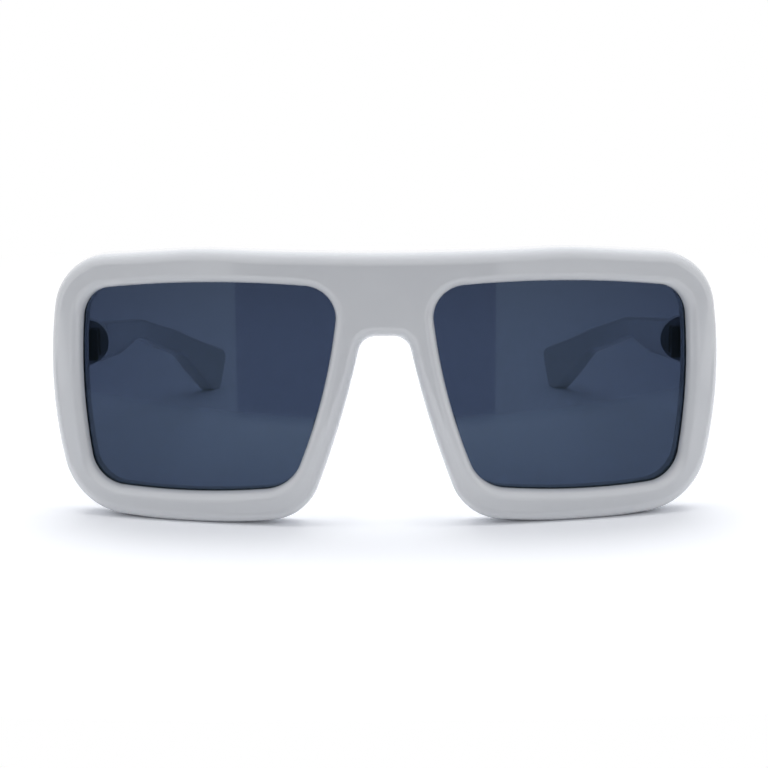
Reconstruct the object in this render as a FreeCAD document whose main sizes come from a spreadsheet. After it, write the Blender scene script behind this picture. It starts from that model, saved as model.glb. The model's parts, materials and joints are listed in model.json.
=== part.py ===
import FreeCAD, Part
import os

import Sketcher
from FreeCAD import Placement, Rotation, Vector

# Oversized square sunglasses, standing open on the rims and the temple tips.
# Millimetres, +Z up, the front faces -Y and the wearer's left is +X.
# While a piece is drawn, y is zero at the foremost line of the front, and each
# finished piece is then placed so that the origin is the middle of the footprint.

SIZES = {
    # Front outline
    "front_width": 150.0,
    "front_height": 61.6,
    "front_curve_radius": 200.0,
    "front_thickness": 8.0,
    "brow_dip": 0.65,
    "brow_drop": 2.7,
    "brow_blend_radius": 80.0,
    "side_curve_radius": 95.0,
    "upper_corner_radius": 14.0,
    "lower_corner_radius": 15.0,
    "nose_width_low": 36.4,
    "nose_width_high": 10.0,
    "bridge_height": 19.0,
    "nose_side_bulge": 1.0,
    "nose_low_radius": 12.5,
    "nose_arch_radius": 3.8,
    "rim_rise": 2.0,
    "rim_rest_width": 6.0,
    "rim_front_round": 2.8,
    "rim_back_round": 2.0,
    # Lens openings
    "rim_top": 7.4,
    "rim_bottom": 6.9,
    "rim_side": 7.1,
    "bridge_width": 21.3,
    "nasal_bar": 5.2,
    "nasal_corner_inset": 0.7,
    "lens_top_nasal_drop": 1.1,
    "lens_top_outer_drop": 2.7,
    "lens_bottom_outer_rise": 0.9,
    "lens_bottom_nasal_rise": 1.7,
    "lens_side_radius": 120.0,
    "lens_nasal_bulge": 2.05,
    "lens_upper_nasal_radius": 7.0,
    "lens_upper_outer_radius": 7.6,
    "lens_lower_outer_radius": 8.0,
    "lens_lower_nasal_radius": 9.5,
    "opening_front_round": 2.2,
    "opening_back_round": 0.8,
    # Lenses and the groove that holds them
    "lens_setback": 2.8,
    "lens_thickness": 2.0,
    "lens_edge": 0.9,
    "seat_clearance": 0.1,
    # Nose pads
    "pad_width": 4.4,
    "pad_depth": 6.0,
    "pad_inset": 2.2,
    "pad_tip_radius": 1.5,
    "pad_round": 1.2,
    "bond_gap": 0.02,
    # Endpiece and hinge
    "hinge_drop": 24.3,
    "hinge_offset": 1.1,
    "hinge_gap": 4.4,
    "endpiece_step": 0.4,
    "endpiece_margin": 1.8,
    "endpiece_height": 10.4,
    "endpiece_round": 1.2,
    "endpiece_root": 5.0,
    "knuckle_radius": 1.4,
    "knuckle_height": 1.75,
    "knuckle_gap": 0.08,
    "leaf_thickness": 0.6,
    "leaf_round": 0.5,
    "leaf_inner_reach": 1.4,
    "front_leaf_height": 7.2,
    "front_leaf_reach": 3.9,
    "temple_leaf_height": 6.4,
    "temple_leaf_reach": 3.7,
    "pin_radius": 0.6,
    "pin_clearance": 0.04,
    "pin_head_radius": 1.1,
    "pin_head_height": 0.6,
    "screw_radius": 0.45,
    "screw_clearance": 0.03,
    "screw_head_radius": 0.75,
    "screw_head_height": 0.45,
    "screw_depth": 4.0,
    "screw_offset": 2.75,
    "screw_spacing": 4.4,
    "slot_width": 0.25,
    "slot_depth": 0.2,
    # Temples
    "temple_reach": 135.0,
    "temple_joint_gap": 0.2,
    "temple_butt_height": 10.4,
    "temple_outer_inset": 0.5,
    "temple_front_thickness": 6.5,
    "temple_bend_thickness": 4.5,
    "temple_tip_thickness": 4.5,
    "temple_tuck": 4.0,
    "temple_tip_tuck": 24.5,
    "temple_wall_offset": 4.2,
    "temple_neck_height": 4.6,
    "temple_tip_height": 10.8,
    "temple_heel_length": 4.0,
    "temple_tip_slant": 3.5,
    "temple_belly_radius": 40.0,
    "temple_neck_radius": 45.0,
    "temple_throat_radius": 12.0,
    "temple_shoulder_radius": 60.0,
    "temple_heel_radius": 4.0,
    "temple_tip_low_radius": 3.5,
    "temple_tip_high_radius": 3.0,
    "temple_round": 1.2,
    "boss_offset": 2.0,
    "boss_radius": 5.3,
    "boss_nose_radius": 1.2,
    "boss_length": 14.0,
    "boss_curve_radius": 28.0,
    # Core wires
    "wire_thickness": 1.0,
    "wire_height": 1.8,
    "wire_inset": 2.2,
    "wire_end_cover": 32.0,
    "wire_clearance": 0.05,
    "wire_bend_radius": 30.0,
    # One overrun for every cut
    "cut_overrun": 2.0,
}

# How far out the brow is highest and the rims rest, and how high the front is widest
BROW_PEAK_SHARE = 0.533
RIM_REST_SHARE = 0.587
WIDEST_SHARE = 0.534
# Where along the temple, and how high, its side outline turns
BEND_SHARE = 0.5
BELLY_ALONG_SHARE, BELLY_UP_SHARE = 0.341, 0.706
NECK_LOW_ALONG_SHARE, NECK_HIGH_ALONG_SHARE, NECK_UP_SHARE = 0.593, 0.607, 0.726
THROAT_ALONG_SHARE, THROAT_UP_SHARE = 0.826, 0.378
SHOULDER_ALONG_SHARE, SHOULDER_UP_SHARE = 0.793, 0.596
WIRE_END_UP_SHARE = 0.54
# Where along the slanted side of the nose each pad starts and ends
PAD_LOW_SHARE, PAD_HIGH_SHARE = 0.27, 0.75
# How much of a wall its rounding may take, and how much of the wall before a lens its bevel may
WALL_ROUND_SHARE = 0.4
BEVEL_SHARE = 0.8
# How much of the tip's lower corner the rounding along the temple may take
CORNER_ROUND_SHARE = 0.5
# How much of a knuckle's half width its rounded back takes
KNUCKLE_ROUND_SHARE = 0.96

NEWTON_STEPS = 12
TOLERANCE = 1e-6

LENS_CORNERS = ("upper_nasal", "upper_outer", "lower_outer", "lower_nasal")
# Which way each lens corner moves when the outline grows: across, then up
GROW_SIGNS = {
    "upper_nasal": ("-", "+"),
    "upper_outer": ("+", "+"),
    "lower_outer": ("+", "-"),
    "lower_nasal": ("-", "-"),
}


def bulge_radius(bulge, start, end):
    """Radius of the arc that stands out by bulge over the chord between two named points."""
    chord = f"(({start[0]} - {end[0]})^2 + ({start[1]} - {end[1]})^2)"
    return f"{chord} / (8 * ({bulge})) + ({bulge}) / 2"


def rising_radius(run, rise):
    """Radius of the arc that leaves a level side smoothly and rises by so much over a run."""
    return f"(({run})^2 + ({rise})^2) / (2 * ({rise}))"


def front_places():
    """Points of the front's outline and of its curved plan."""
    return {
        "half_width": "sizes.front_width / 2",
        "far": "sizes.front_width + sizes.temple_reach",
        "back_radius": "sizes.front_curve_radius - sizes.front_thickness",
        "cut_x": "places.half_width + sizes.cut_overrun",
        "brow_peak_x": f"places.half_width * {BROW_PEAK_SHARE}",
        "brow_dip_radius": bulge_radius(
            "sizes.brow_dip",
            ("places.brow_peak_x", "sizes.front_height"),
            ("-places.brow_peak_x", "sizes.front_height"),
        ),
        "upper_corner_z": "sizes.front_height - sizes.brow_drop",
        "widest_z": f"sizes.front_height * {WIDEST_SHARE}",
        "side_centre_x": "places.half_width - sizes.side_curve_radius",
        "upper_corner_x": "places.side_centre_x + sqrt(sizes.side_curve_radius^2"
                          " - (places.upper_corner_z - places.widest_z)^2)",
        "lower_corner_x": "places.side_centre_x + sqrt(sizes.side_curve_radius^2"
                          " - (sizes.rim_rise - places.widest_z)^2)",
        "floor_z": "0",
        "on_axis": "0",
        "nose_height": "sizes.front_height - sizes.bridge_height",
        "nose_low_x": "sizes.nose_width_low / 2",
        "nose_high_x": "sizes.nose_width_high / 2",
        "nose_run": "places.nose_low_x - places.nose_high_x",
        "nose_side_length": "sqrt(places.nose_run^2 + places.nose_height^2)",
        "nose_foot_x": "places.nose_low_x - places.nose_run * sizes.rim_rise / places.nose_height",
        "nose_side_radius": bulge_radius(
            "sizes.nose_side_bulge",
            ("places.nose_foot_x", "sizes.rim_rise"),
            ("places.nose_high_x", "places.nose_height"),
        ),
        "rest_x": f"places.half_width * {RIM_REST_SHARE}",
        "rest_inner_x": "places.rest_x - sizes.rim_rest_width / 2",
        "rest_outer_x": "places.rest_x + sizes.rim_rest_width / 2",
        "rest_inner_radius": rising_radius("places.rest_inner_x - places.nose_foot_x", "sizes.rim_rise"),
        "rest_outer_radius": rising_radius("places.lower_corner_x - places.rest_outer_x", "sizes.rim_rise"),
        "opening_round": f"min(sizes.opening_front_round; {BEVEL_SHARE} * sizes.lens_setback)",
        "rim_round": f"min(sizes.rim_front_round; sizes.nasal_bar - places.opening_round"
                     f" - {WALL_ROUND_SHARE} * sizes.nose_side_bulge)",
        "rim_back": f"min(sizes.rim_back_round; {WALL_ROUND_SHARE} * sizes.nasal_bar)",
    }


def curve_places(name, radius):
    """Ends of an arc about the front's own centre of curvature, wide enough to cut with."""
    return {
        f"{name}_end_y": f"sizes.front_curve_radius - sqrt(({radius})^2 - places.cut_x^2)",
        f"{name}_radius": radius,
    }


def lens_places():
    """Lens corners, first across the face and then across each lens's own tilted plane."""
    places = {
        "lens_top_z": "sizes.front_height - sizes.rim_top",
        "lens_outer_x": "places.half_width - sizes.rim_side",
        "upper_nasal_z": "places.lens_top_z - sizes.lens_top_nasal_drop",
        "upper_outer_z": "places.lens_top_z - sizes.lens_top_outer_drop",
        "lower_outer_z": "sizes.rim_bottom + sizes.lens_bottom_outer_rise",
        "lower_nasal_z": "sizes.rim_bottom + sizes.lens_bottom_nasal_rise",
        "lens_side_centre_x": "places.lens_outer_x - sizes.lens_side_radius",
        "upper_nasal_x": "sizes.bridge_width / 2 - sizes.nasal_corner_inset",
        "lower_nasal_x": "places.nose_low_x + (sizes.nasal_bar * places.nose_side_length"
                         " - places.lower_nasal_z * places.nose_run) / places.nose_height",
        "lens_radius": "sizes.front_curve_radius - sizes.lens_setback",
        "lens_centre_x": "(places.lens_outer_x + sizes.bridge_width / 2) / 2",
        "lens_run": "sqrt(places.lens_radius^2 - places.lens_centre_x^2)",
        "lens_centre_y": "sizes.front_curve_radius - places.lens_run",
        "lens_tilt": "asin(places.lens_centre_x / places.lens_radius) / 1deg",
        "lens_reach": "sizes.front_thickness + places.half_width * tan(places.lens_tilt * 1deg)",
    }
    for corner in ("upper_outer", "lower_outer"):
        places[f"{corner}_x"] = (
            "places.lens_side_centre_x + sqrt(sizes.lens_side_radius^2"
            f" - (places.{corner}_z - places.widest_z)^2)"
        )
    for corner in LENS_CORNERS:
        across = f"places.{corner}_x"
        places[f"{corner}_u"] = (
            f"({across} * places.lens_run - sqrt(places.lens_radius^2 - {across}^2)"
            " * places.lens_centre_x) / places.lens_radius"
        )
    bulges = {
        "upper_nasal": "sizes.lens_nasal_bulge",
        "upper_outer": "(sizes.lens_top_nasal_drop + sizes.lens_top_outer_drop) / 2",
        "lower_nasal": "(sizes.lens_bottom_outer_rise + sizes.lens_bottom_nasal_rise) / 2",
    }
    growths = {
        "opening": "0",
        "glass": "sizes.lens_edge",
        "seat": "sizes.lens_edge + sizes.seat_clearance",
    }
    for outline, growth in growths.items():
        for corner, (across_sign, up_sign) in GROW_SIGNS.items():
            places[f"{outline}_{corner}_u"] = f"places.{corner}_u {across_sign} ({growth})"
            places[f"{outline}_{corner}_z"] = f"places.{corner}_z {up_sign} ({growth})"
            places[f"{outline}_{corner}_radius"] = f"sizes.lens_{corner}_radius + {growth}"
        for index, corner in enumerate(LENS_CORNERS):
            side = f"{outline}_{corner}_side"
            before = LENS_CORNERS[index - 1]
            if corner in bulges:
                places[side] = bulge_radius(
                    bulges[corner],
                    (f"places.{outline}_{before}_u", f"places.{outline}_{before}_z"),
                    (f"places.{outline}_{corner}_u", f"places.{outline}_{corner}_z"),
                )
            else:
                places[side] = f"sizes.lens_side_radius + {growth}"
    return places


def pad_places():
    """A nose pad, which lies along the slanted side of the nose."""
    places = {
        "pad_tip_round": f"min(sizes.pad_tip_radius; {WALL_ROUND_SHARE} * sizes.pad_width)",
        "pad_edge_round": f"min(sizes.pad_round; {WALL_ROUND_SHARE} * sizes.pad_width;"
                          f" {WALL_ROUND_SHARE} * sizes.pad_depth)",
    }
    for end, share in (("low", PAD_LOW_SHARE), ("high", PAD_HIGH_SHARE)):
        places[f"pad_{end}_z"] = f"places.nose_height * {share}"
        places[f"pad_{end}_x"] = f"places.nose_low_x - places.nose_run * {share} + sizes.pad_inset"
    places["pad_side_radius"] = bulge_radius(
        "sizes.pad_width / 2",
        ("places.pad_low_x", "places.pad_low_z"),
        ("places.pad_high_x", "places.pad_high_z"),
    )
    return places


def hinge_places():
    """The hinge, which stands between the endpiece of the front and the boss of the temple."""
    return {
        "hinge_z": "sizes.front_height - sizes.hinge_drop",
        "hinge_x": "places.lens_outer_x - sizes.hinge_offset",
        "seat_y": "sizes.front_curve_radius - sqrt(places.back_radius^2 - places.half_width^2)",
        "axis_y": "places.seat_y + sizes.hinge_gap / 2",
        "boss_face_y": "places.seat_y + sizes.hinge_gap",
        "endpiece_inner_x": "places.lens_outer_x + sizes.endpiece_step",
        "endpiece_outer_x": "places.half_width - sizes.endpiece_margin",
        "endpiece_low_z": "places.hinge_z - sizes.endpiece_height / 2",
        "endpiece_high_z": "places.hinge_z + sizes.endpiece_height / 2",
        "endpiece_mid_y": "places.seat_y - sizes.endpiece_root / 2",
        "leaf_inner_x": "places.hinge_x - sizes.leaf_inner_reach",
        "front_leaf_outer_x": "places.hinge_x + sizes.front_leaf_reach",
        "front_leaf_low_z": "places.hinge_z - sizes.front_leaf_height / 2",
        "front_leaf_high_z": "places.hinge_z + sizes.front_leaf_height / 2",
        "front_leaf_mid_y": "places.seat_y + sizes.leaf_thickness / 2",
        "front_leaf_face_y": "places.seat_y + sizes.leaf_thickness",
        "temple_leaf_outer_x": "places.hinge_x + sizes.temple_leaf_reach",
        "temple_leaf_low_z": "places.hinge_z - sizes.temple_leaf_height / 2",
        "temple_leaf_high_z": "places.hinge_z + sizes.temple_leaf_height / 2",
        "temple_leaf_mid_y": "places.boss_face_y - sizes.leaf_thickness / 2",
        "temple_leaf_face_y": "places.boss_face_y - sizes.leaf_thickness",
        "knuckle_inner_x": "places.hinge_x - sizes.knuckle_radius",
        "knuckle_outer_x": "places.hinge_x + sizes.knuckle_radius",
        "knuckle_round": f"{KNUCKLE_ROUND_SHARE} * sizes.knuckle_radius",
        "knuckle_front_y": "places.axis_y - sizes.knuckle_radius",
        "knuckle_back_y": "places.axis_y + sizes.knuckle_radius",
        "knuckle_pitch": "sizes.knuckle_height + sizes.knuckle_gap",
        "knuckle_low_z": "places.hinge_z - places.knuckle_pitch",
        "knuckle_high_z": "places.hinge_z + places.knuckle_pitch",
        "knuckle_bottom_z": "places.knuckle_low_z - sizes.knuckle_height / 2",
        "knuckle_top_z": "places.knuckle_high_z + sizes.knuckle_height / 2",
        "pin_hole_radius": "sizes.pin_radius + sizes.pin_clearance",
        "pin_head_top_z": "places.knuckle_top_z + sizes.pin_head_height",
        "screw_hole_radius": "sizes.screw_radius + sizes.screw_clearance",
        "screw_x": "places.hinge_x + sizes.screw_offset",
        "screw_lower_z": "places.hinge_z - sizes.screw_spacing / 2",
        "screw_upper_z": "places.hinge_z + sizes.screw_spacing / 2",
        "front_screw_end_y": "places.seat_y - sizes.screw_depth",
        "front_screw_top_y": "places.front_leaf_face_y + sizes.screw_head_height",
        "front_hole_end_y": "places.front_screw_end_y - sizes.screw_clearance",
        "temple_screw_end_y": "places.boss_face_y + sizes.screw_depth",
        "temple_screw_top_y": "places.temple_leaf_face_y - sizes.screw_head_height",
        "temple_hole_end_y": "places.temple_screw_end_y + sizes.screw_clearance",
        "slot_half": "sizes.slot_width / 2",
        "pin_slot_low_z": "places.pin_head_top_z - sizes.slot_depth",
        "pin_slot_high_z": "places.pin_head_top_z + sizes.cut_overrun",
        "front_slot_low_y": "places.front_screw_top_y - sizes.slot_depth",
        "front_slot_high_y": "places.front_screw_top_y + sizes.cut_overrun",
        "temple_slot_low_y": "places.temple_screw_top_y - sizes.cut_overrun",
        "temple_slot_high_y": "places.temple_screw_top_y + sizes.slot_depth",
    }


def temple_places():
    """Side outline of a temple, and the straight-then-bent curves of its plan."""
    def along(share):
        return f"places.seat_y + sizes.temple_reach * {share}"

    def up(share):
        return f"places.hinge_z * {share}"

    places = {
        "temple_end_y": along(1),
        "middle_y": "places.temple_end_y / 2",
        "butt_y": "places.seat_y + sizes.temple_joint_gap",
        "butt_low_z": "places.hinge_z - sizes.temple_butt_height / 2",
        "butt_high_z": "places.hinge_z + sizes.temple_butt_height / 2",
        "belly_y": along(BELLY_ALONG_SHARE),
        "belly_z": up(BELLY_UP_SHARE),
        "neck_z": up(NECK_UP_SHARE),
        "neck_low_y": along(NECK_LOW_ALONG_SHARE),
        "neck_low_z": "places.neck_z - sizes.temple_neck_height / 2",
        "neck_high_y": along(NECK_HIGH_ALONG_SHARE),
        "neck_high_z": "places.neck_z + sizes.temple_neck_height / 2",
        "throat_y": along(THROAT_ALONG_SHARE),
        "throat_z": up(THROAT_UP_SHARE),
        "shoulder_y": along(SHOULDER_ALONG_SHARE),
        "shoulder_z": up(SHOULDER_UP_SHARE),
        "tip_low_y": "places.temple_end_y - sizes.temple_tip_slant",
        "heel_y": "places.tip_low_y - sizes.temple_heel_length",
        "tip_low_round": "min(sizes.temple_tip_low_radius;"
                         f" {WALL_ROUND_SHARE} * min(sizes.temple_tip_height; sizes.temple_heel_length))",
        "tip_high_round": f"min(sizes.temple_tip_high_radius; {WALL_ROUND_SHARE} * sizes.temple_tip_height)",
        "temple_edge_round": f"min(sizes.temple_round; {CORNER_ROUND_SHARE} * places.tip_low_round;"
                             f" {WALL_ROUND_SHARE} * min(sizes.temple_tip_thickness;"
                             " sizes.temple_bend_thickness))",
        "bend_y": along(BEND_SHARE),
        "plan_start_y": "places.seat_y - sizes.cut_overrun",
        "plan_end_y": "places.temple_end_y + sizes.cut_overrun",
        "temple_mid_x": "places.half_width - sizes.temple_tip_tuck",
        "temple_span": "2 * (sizes.temple_tip_tuck + sizes.temple_tip_thickness + sizes.cut_overrun)",
        "plan_near_x": "places.temple_mid_x - places.temple_span",
        "temple_wall_x": "places.hinge_x + sizes.temple_wall_offset",
        "boss_x": "places.hinge_x + sizes.boss_offset",
        "boss_end_y": "places.boss_face_y + sizes.boss_length",
        "wire_end_y": "places.temple_end_y - sizes.wire_end_cover",
        "wire_end_z": up(WIRE_END_UP_SHARE),
        "wire_neck_y": "(places.neck_low_y + places.neck_high_y) / 2",
    }
    outer_x = "places.half_width - sizes.temple_outer_inset"
    outer = (outer_x, f"{outer_x} - sizes.temple_tuck", f"{outer_x} - sizes.temple_tip_tuck")
    thicknesses = ("front", "bend", "tip")
    inner = [f"{x} - sizes.temple_{part}_thickness" for x, part in zip(outer, thicknesses)]
    half_wire = "sizes.wire_thickness / 2"
    curves = {"outer": outer, "inner": inner}
    for name, slack in (("wire", "0"), ("channel", "sizes.wire_clearance")):
        curves[f"{name}_outer"] = [f"{x} + sizes.wire_inset + {half_wire} + {slack}" for x in inner]
        curves[f"{name}_inner"] = [f"{x} + sizes.wire_inset - {half_wire} - {slack}" for x in inner]
        places[f"{name}_half_height"] = f"sizes.wire_height / 2 + {slack}"
        places[f"{name}_stop_y"] = f"places.wire_end_y + {slack}"
        for point, height in (("start", "hinge_z"), ("neck", "neck_z"), ("end", "wire_end_z")):
            places[f"{name}_{point}_low_z"] = f"places.{height} - places.{name}_half_height"
            places[f"{name}_{point}_high_z"] = f"places.{height} + places.{name}_half_height"
    for name, (front_x, bend_x, tip_x) in curves.items():
        places[f"plan_{name}_front_x"] = front_x
        places[f"plan_{name}_bend_x"] = bend_x
        places[f"plan_{name}_tip_x"] = tip_x
        run = f"(places.plan_{name}_bend_x - places.plan_{name}_tip_x)"
        rise = "(places.plan_end_y - places.bend_y)"
        fall = f"(places.plan_{name}_front_x - places.plan_{name}_bend_x)"
        lean = f"{fall} / (places.bend_y - places.plan_start_y)"
        places[f"plan_{name}_radius"] = (
            f"sqrt({run}^2 + {rise}^2) / (2 * sin(atan({run} / {rise}) - atan({lean})))"
        )
    return places


class Model:
    """The document, with its sheet of driving sizes and the places worked out from them."""

    def __init__(self):
        self.doc = FreeCAD.newDocument("sunglasses")
        self.sheet = self.doc.addObject("Spreadsheet::Sheet", "sizes")
        for row, (name, size) in enumerate(SIZES.items(), start=1):
            self.sheet.set(f"A{row}", name)
            self.sheet.set(f"B{row}", str(size))
            self.sheet.setAlias(f"B{row}", name)
        self.doc.recompute()
        self.places = self.doc.addObject("App::VarSet", "places")
        self.sub_parts = []

    def add_places(self, places):
        for name in places:
            if name in SIZES:
                raise ValueError(f"{name} is both a size and a place")
            self.places.addProperty("App::PropertyFloat", name, "Places")
        for name, formula in places.items():
            self.places.setExpression(name, formula)
        self.doc.recompute()

    def formula(self, name):
        """The expression for a named size or place, with an optional minus sign in front."""
        sign, plain = ("-", name[1:]) if name.startswith("-") else ("", name)
        return f"{sign}sizes.{plain}" if plain in SIZES else f"{sign}places.{plain}"

    def number(self, name):
        sign, plain = (-1, name[1:]) if name.startswith("-") else (1, name)
        holder = self.sheet if plain in SIZES else self.places
        return sign * float(getattr(holder, plain))

    def bind(self, item, **settings):
        for path, name in settings.items():
            item.setExpression(path.replace("__", "."), self.formula(name))

    def hand_over(self, item, label):
        """Names a finished sub-part and sets it over the middle of the footprint."""
        item.Label = label
        if item.TypeId != "Part::Mirroring":
            # A mirrored copy stands wherever its source was placed
            self.bind(item, Placement__Base__y="-middle_y")
        self.sub_parts.append(item)


def side_of(start, end, radius):
    """A side of an outline: straight, or an arc that stands out (or in, if radius is negative)."""
    chord = end - start
    left = Vector(-chord.y, chord.x, 0).normalize()
    if radius is None:
        return {"start": start, "left": left, "radius": None}
    height = (radius**2 - (chord.Length / 2) ** 2) ** 0.5
    outward = 1 if radius > 0 else -1
    centre = (start + end) * 0.5 + left * (height * outward)
    return {"centre": centre, "radius": abs(radius), "outward": outward}


def depth_inside(side, point):
    """How far a point lies to the left of a side, and the direction in which that grows."""
    if side["radius"] is None:
        return (point - side["start"]).dot(side["left"]), side["left"]
    arm = side["centre"] - point
    gap = side["radius"] - arm.Length
    return gap * side["outward"], arm.normalize() * side["outward"]


def rounding(before, after, corner, radius):
    """Centre of the arc that rounds a corner, and where it touches the two sides."""
    ahead = after.get("left") or depth_inside(after, corner)[1]
    behind = before.get("left") or depth_inside(before, corner)[1]
    turns_left = behind.x * ahead.y - behind.y * ahead.x > 0
    reach = radius if turns_left else -radius
    centre = Vector(corner)
    for _ in range(NEWTON_STEPS):
        depth_a, grow_a = depth_inside(before, centre)
        depth_b, grow_b = depth_inside(after, centre)
        miss_a, miss_b = reach - depth_a, reach - depth_b
        span = grow_a.x * grow_b.y - grow_a.y * grow_b.x
        centre += Vector(
            (miss_a * grow_b.y - miss_b * grow_a.y) / span,
            (miss_b * grow_a.x - miss_a * grow_b.x) / span,
            0,
        )
    touches = []
    for side in (before, after):
        depth, grow = depth_inside(side, centre)
        touches.append(centre - grow * depth)
    return centre, touches, turns_left


def arc_between(centre, radius, start, end):
    """The arc about a centre, anticlockwise from start to end."""
    circle = Part.Circle(centre, Vector(0, 0, 1), radius)
    return Part.ArcOfCircle(circle, circle.parameter(start), circle.parameter(end))


START, END, CENTRE = range(1, 4)
ORIGIN = (-1, 1)


def draw_outline(model, sketch, corners):
    """Draws a closed outline, turning left, with every point bound to named places.

    Each corner is (across, up, rounding radius, radius of the side that follows), all by name.
    """
    count = len(corners)
    points = [Vector(model.number(across), model.number(up), 0) for across, up, _, _ in corners]
    sides = []
    for index, corner in enumerate(corners):
        radius = None if corner[3] is None else model.number(corner[3])
        sides.append(side_of(points[index], points[(index + 1) % count], radius))
    rounds = []
    for index, corner in enumerate(corners):
        if corner[2] is None:
            rounds.append((None, (points[index], points[index]), True))
        else:
            rounds.append(rounding(sides[index - 1], sides[index], points[index], model.number(corner[2])))

    marks = [sketch.addGeometry(Part.Point(point), True) for point in points]
    side_ids, round_ids = [], []
    for index, side in enumerate(sides):
        start = rounds[index][1][1]
        end = rounds[(index + 1) % count][1][0]
        if side["radius"] is None:
            curve = Part.LineSegment(start, end)
        elif side["outward"] > 0:
            curve = arc_between(side["centre"], side["radius"], start, end)
        else:
            curve = arc_between(side["centre"], side["radius"], end, start)
        side_ids.append(sketch.addGeometry(curve, False))
    for index, (centre, touches, turns_left) in enumerate(rounds):
        if centre is None:
            round_ids.append(None)
            continue
        start, end = touches if turns_left else reversed(touches)
        radius = model.number(corners[index][2])
        round_ids.append(sketch.addGeometry(arc_between(centre, radius, start, end), False))

    def tie(kind, *places, name=None):
        value = [] if name is None else [model.number(name)]
        number = sketch.addConstraint(Sketcher.Constraint(kind, *places, *value))
        if name is not None:
            sketch.setExpression(f"Constraints[{number}]", model.formula(name))

    for index, (across, up, radius, side_radius) in enumerate(corners):
        mark, side, before = marks[index], side_ids[index], side_ids[index - 1]
        reversed_side = sides[index].get("outward", 1) < 0
        side_start = END if reversed_side else START
        before_end = START if sides[index - 1].get("outward", 1) < 0 else END
        tie("DistanceX", *ORIGIN, mark, START, name=across)
        tie("DistanceY", *ORIGIN, mark, START, name=up)
        if side_radius is not None:
            tie("Radius", side, name=side_radius.lstrip("-"))
        if radius is None:
            tie("Coincident", before, before_end, mark, START)
            tie("Coincident", side, side_start, mark, START)
            continue
        turns_left = rounds[index][2]
        arc_start, arc_end = (START, END) if turns_left else (END, START)
        tie("PointOnObject", mark, START, before)
        tie("PointOnObject", mark, START, side)
        tie("Tangent", before, before_end, round_ids[index], arc_start)
        tie("Tangent", round_ids[index], arc_end, side, side_start)
        tie("Radius", round_ids[index], name=radius)
    return sketch


def draw_circle(model, sketch, across, up, radius):
    """Draws a circle whose centre and radius are bound to named places."""
    centre = Vector(model.number(across), model.number(up), 0)
    circle = sketch.addGeometry(Part.Circle(centre, Vector(0, 0, 1), model.number(radius)), False)
    for kind, places, name in (
        ("DistanceX", (*ORIGIN, circle, CENTRE), across),
        ("DistanceY", (*ORIGIN, circle, CENTRE), up),
        ("Radius", (circle,), radius),
    ):
        number = sketch.addConstraint(Sketcher.Constraint(kind, *places, model.number(name)))
        sketch.setExpression(f"Constraints[{number}]", model.formula(name))


def new_body(model, name):
    return model.doc.addObject("PartDesign::Body", name)


def new_sketch(model, body, name, plane, offset=None):
    """A sketch on one of the body's own planes, moved along the plane's axis to a named place."""
    sketch = body.newObject("Sketcher::SketchObject", name)
    origin_planes = {item.Role: item for item in body.Origin.OriginFeatures}
    sketch.AttachmentSupport = (origin_planes[f"{plane}_Plane"], [""])
    sketch.MapMode = "FlatFace"
    if offset is not None:
        # The upright front plane looks towards -Y
        sketch_offset = f"-{offset}" if plane == "XZ" else offset
        model.bind(sketch, AttachmentOffset__Base__z=sketch_offset)
    return sketch


def outline_sketch(model, body, name, plane, corners, offset=None):
    return draw_outline(model, new_sketch(model, body, name, plane, offset), corners)


def add_feature(model, body, kind, sketch, length=None):
    """A pad or pocket that runs equally to both sides of its sketch."""
    feature = body.newObject(f"PartDesign::{kind}", f"{sketch.Name}_{kind.lower()}")
    feature.Profile = sketch
    feature.SideType = "Symmetric"
    if length is None:
        feature.Type = "ThroughAll"
    else:
        model.bind(feature, Length=length)
    model.doc.recompute()
    return feature


def cut_feature(model, body, sketch, length=None):
    """A pocket that must take something away."""
    before = body.Shape.Volume
    feature = add_feature(model, body, "Pocket", sketch, length)
    if body.Shape.Volume > before - TOLERANCE:
        raise RuntimeError(f"{sketch.Name} cuts nothing")
    return feature


def round_edges(model, body, name, edges, radius):
    """Rounds the given edges of the body's present shape."""
    tip = body.Tip
    names = [f"Edge{number}" for number, edge in enumerate(tip.Shape.Edges, start=1)
             if any(edge.isSame(wanted) for wanted in edges)]
    feature = body.newObject("PartDesign::Fillet", name)
    feature.Base = (tip, names)
    model.bind(feature, Radius=radius)
    model.doc.recompute()
    return feature


def curved_face(shape, radius):
    """The largest upright cylindrical face of a given radius."""
    faces = [face for face in shape.Faces if isinstance(face.Surface, Part.Cylinder)
             and abs(face.Surface.Radius - radius) < TOLERANCE]
    return max(faces, key=lambda face: face.Area)


def mirrored_corners(corners):
    """The same outline on the other side of the middle, still turning left."""
    result = []
    for index in reversed(range(len(corners))):
        across, up, radius, _ = corners[index]
        side_before = corners[index - 1][3]
        result.append((f"-{across}", up, radius, side_before))
    return result


def rectangle(left, right, low, high, radius=None):
    """Corners of an upright rectangle, turning left."""
    return [
        (left, low, radius, None),
        (right, low, radius, None),
        (right, high, radius, None),
        (left, high, radius, None),
    ]


def shape_between_curves(model, body, prefix, front_curve, back_curve):
    """Cuts away what lies before one arc of the front's plan and behind another."""
    before = [
        ("-cut_x", "-far", None, None),
        ("cut_x", "-far", None, None),
        ("cut_x", f"{front_curve}_end_y", None, f"-{front_curve}_radius"),
        ("-cut_x", f"{front_curve}_end_y", None, None),
    ]
    behind = [
        ("cut_x", f"{back_curve}_end_y", None, None),
        ("cut_x", "far", None, None),
        ("-cut_x", "far", None, None),
        ("-cut_x", f"{back_curve}_end_y", None, f"{back_curve}_radius"),
    ]
    cut_feature(model, body, outline_sketch(model, body, f"{prefix}_before", "XY", before))
    cut_feature(model, body, outline_sketch(model, body, f"{prefix}_behind", "XY", behind))


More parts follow.
